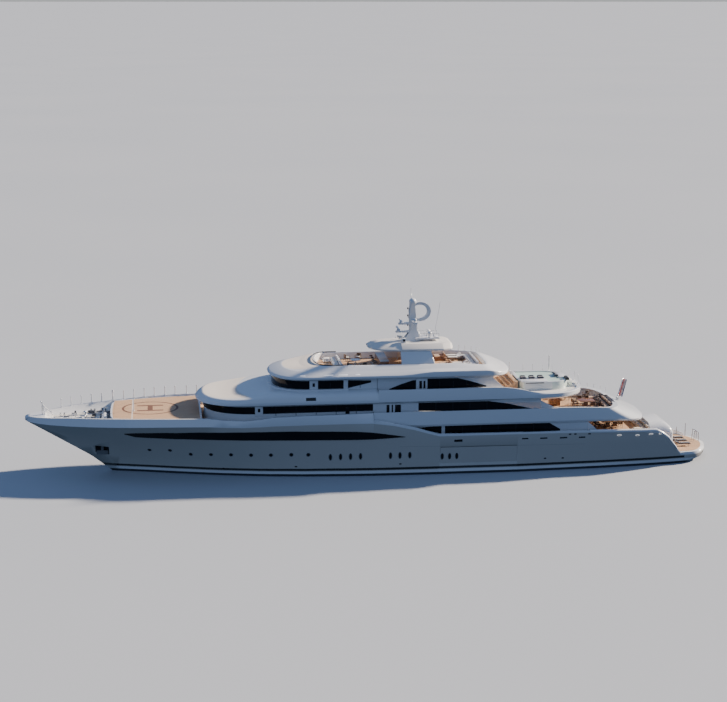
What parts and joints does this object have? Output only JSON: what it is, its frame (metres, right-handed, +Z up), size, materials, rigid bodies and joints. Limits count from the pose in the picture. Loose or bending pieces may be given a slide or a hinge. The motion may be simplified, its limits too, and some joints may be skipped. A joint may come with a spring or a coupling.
{
  "type": "motor yacht, 1:2 scale model",
  "caption": "Large displacement motor yacht with tiered decks, black window bands, swim platform, hull garage, sliding saloon doors, mast with radar and underwater gear.",
  "frame": {"origin": "on the waterline, on the centreline, midway between stem head and the end of the swim platform", "axes": "+X runs forward to the bow, +Y to port, +Z up"},
  "size_m": [38.5, 6.8, 11.9073],
  "materials": {
    "hull_paint": "gloss",
    "dark_glass": "polished",
    "bronze": "machined",
    "antifouling": "matt",
    "galvanised": "galvanised",
    "white_paint": "gloss",
    "cream_paint": "gloss",
    "teak": "sanded",
    "stainless": "polished",
    "upholstery": "woven",
    "joinery": "varnished",
    "pool_mosaic": "glazed",
    "flag_cloth": "woven"
  },
  "bodies": {
    "ship": {"hull_bow": "hull_paint", "hull_fore": "hull_paint", "hull_midship": "hull_paint", "hull_stern": "hull_paint", "hull_glass_port": "dark_glass", "shaft_bracket_port": "antifouling", "anchor_port": "galvanised", "hull_glass_starboard": "dark_glass", "shaft_bracket_starboard": "antifouling", "anchor_starboard": "galvanised", "transom": "white_paint", "main_deck_house": "white_paint", "upper_deck": "white_paint", "upper_deck_house": "white_paint", "upper_deck_glass": "dark_glass", "upper_house_roof": "white_paint", "bridge_deck": "white_paint", "wheelhouse": "white_paint", "wheelhouse_glass": "dark_glass", "bridge_deck_house": "white_paint", "main_deck_glass_port": "dark_glass", "bridge_deck_glass_port": "dark_glass", "main_deck_glass_starboard": "dark_glass", "bridge_deck_glass_starboard": "dark_glass", "sun_deck": "white_paint", "arch_leg_port": "white_paint", "arch_leg_starboard": "white_paint", "hardtop": "cream_paint", "mast": "white_paint", "round_deck": "teak", "windlass_port": "stainless", "windlass_starboard": "stainless", "jackstaff": "stainless", "upper_deck_settee": "upholstery", "upper_deck_table": "joinery", "main_deck_settee": "upholstery", "main_deck_table": "joinery", "sun_deck_settee_fore": "upholstery", "sun_deck_bar": "joinery", "sun_deck_settee_aft": "upholstery", "spa_pool": "pool_mosaic", "ensign_staff": "stainless", "ensign": "flag_cloth"},
    "propeller_port": {"propeller_port": "bronze"},
    "rudder_port": {"rudder_port": "antifouling"},
    "stabiliser_port": {"stabiliser_port": "antifouling"},
    "garage_door_port": {"garage_door_port": "hull_paint"},
    "main_deck_door_port": {"main_deck_door_port": "dark_glass"},
    "upper_deck_door_port": {"upper_deck_door_port": "dark_glass"},
    "bridge_deck_door_port": {"bridge_deck_door_port": "dark_glass"},
    "propeller_starboard": {"propeller_starboard": "bronze"},
    "rudder_starboard": {"rudder_starboard": "antifouling"},
    "stabiliser_starboard": {"stabiliser_starboard": "antifouling"},
    "garage_door_starboard": {"garage_door_starboard": "hull_paint"},
    "main_deck_door_starboard": {"main_deck_door_starboard": "dark_glass"},
    "upper_deck_door_starboard": {"upper_deck_door_starboard": "dark_glass"},
    "bridge_deck_door_starboard": {"bridge_deck_door_starboard": "dark_glass"},
    "transom_door": {"transom_door": "white_paint"},
    "radar_scanner_lower": {"radar_scanner_lower": "white_paint"},
    "radar_scanner_upper": {"radar_scanner_upper": "white_paint"}
  },
  "joints": [
    {"name": "propeller_port_spin", "type": "hinge", "parent": "ship", "child": "propeller_port", "pos_m": [-14.7, 1.275, -1.275], "axis": [1, 0, 0], "continuous": true},
    {"name": "rudder_port_turn", "type": "hinge", "parent": "ship", "child": "rudder_port", "pos_m": [-16.1, 1.275, -0.6], "axis": [0, 0, 1], "range_deg": [-35, 35]},
    {"name": "stabiliser_port_turn", "type": "hinge", "parent": "ship", "child": "stabiliser_port", "pos_m": [1.75, 2.51, -1.34], "axis": [0, 0.766, -0.6428], "range_deg": [-20, 20]},
    {"name": "garage_door_port_hinge", "type": "hinge", "parent": "ship", "child": "garage_door_port", "pos_m": [-5.55, 3.1175, 1.515], "axis": [1, 0, 0], "range_deg": [0, 85]},
    {"name": "main_deck_door_port_slide", "type": "slide", "parent": "ship", "child": "main_deck_door_port", "axis": [0, 1, 0], "range_m": [0, 0.55]},
    {"name": "upper_deck_door_port_slide", "type": "slide", "parent": "ship", "child": "upper_deck_door_port", "axis": [0, 1, 0], "range_m": [0, 0.55]},
    {"name": "bridge_deck_door_port_slide", "type": "slide", "parent": "ship", "child": "bridge_deck_door_port", "axis": [0, 1, 0], "range_m": [0, 0.55]},
    {"name": "propeller_starboard_spin", "type": "hinge", "parent": "ship", "child": "propeller_starboard", "pos_m": [-14.7, -1.275, -1.275], "axis": [1, 0, 0], "continuous": true},
    {"name": "rudder_starboard_turn", "type": "hinge", "parent": "ship", "child": "rudder_starboard", "pos_m": [-16.1, -1.275, -0.6], "axis": [0, 0, 1], "range_deg": [-35, 35]},
    {"name": "stabiliser_starboard_turn", "type": "hinge", "parent": "ship", "child": "stabiliser_starboard", "pos_m": [1.75, -2.51, -1.34], "axis": [0, -0.766, -0.6428], "range_deg": [-20, 20]},
    {"name": "garage_door_starboard_hinge", "type": "hinge", "parent": "ship", "child": "garage_door_starboard", "pos_m": [-5.55, -3.1175, 1.515], "axis": [-1, 0, 0], "range_deg": [0, 85]},
    {"name": "main_deck_door_starboard_slide", "type": "slide", "parent": "ship", "child": "main_deck_door_starboard", "axis": [0, -1, 0], "range_m": [0, 0.55]},
    {"name": "upper_deck_door_starboard_slide", "type": "slide", "parent": "ship", "child": "upper_deck_door_starboard", "axis": [0, -1, 0], "range_m": [0, 0.55]},
    {"name": "bridge_deck_door_starboard_slide", "type": "slide", "parent": "ship", "child": "bridge_deck_door_starboard", "axis": [0, -1, 0], "range_m": [0, 0.55]},
    {"name": "transom_door_hinge", "type": "hinge", "parent": "ship", "child": "transom_door", "pos_m": [-17.01, 0, 1.5003], "axis": [0, 1, 0], "range_deg": [0, 80]},
    {"name": "radar_scanner_lower_spin", "type": "hinge", "parent": "ship", "child": "radar_scanner_lower", "pos_m": [-1.45, 0, 7.545], "axis": [0, 0, 1], "continuous": true},
    {"name": "radar_scanner_upper_spin", "type": "hinge", "parent": "ship", "child": "radar_scanner_upper", "pos_m": [-1.6, 0, 7.995], "axis": [0, 0, 1], "continuous": true}
  ]
}
